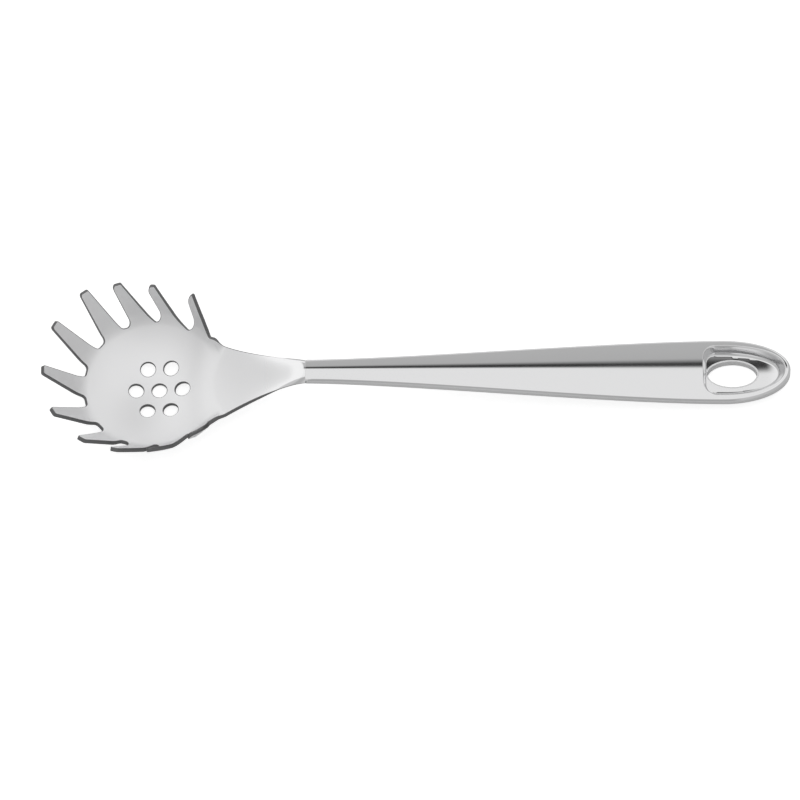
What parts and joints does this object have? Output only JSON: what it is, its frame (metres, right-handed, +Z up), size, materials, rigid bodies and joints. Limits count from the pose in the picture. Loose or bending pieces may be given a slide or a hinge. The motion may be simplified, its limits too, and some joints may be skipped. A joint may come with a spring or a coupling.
{
  "type": "pasta server",
  "caption": "Pasta server with a toothed, pierced round bowl and a hollow steel handle that ends in a dish with an oval hanging hole.",
  "frame": {"origin": "on the surface that the tool lies on, under the middle of its length and width", "axes": "+X from the bowl towards the handle's end, +Y across the tool, +Z up, with the teeth pointing up"},
  "size_m": [0.3218, 0.0848, 0.028],
  "materials": {
    "head_steel": "satin stainless steel, 18/8",
    "handle_steel": "mirror polished stainless steel",
    "liner_steel": "polished stainless steel"
  },
  "bodies": {
    "root": {"server_head": "head_steel", "handle_top_shell": "handle_steel", "handle_bottom_shell": "handle_steel", "hanging_hole_liner": "liner_steel"}
  },
  "joints": []
}
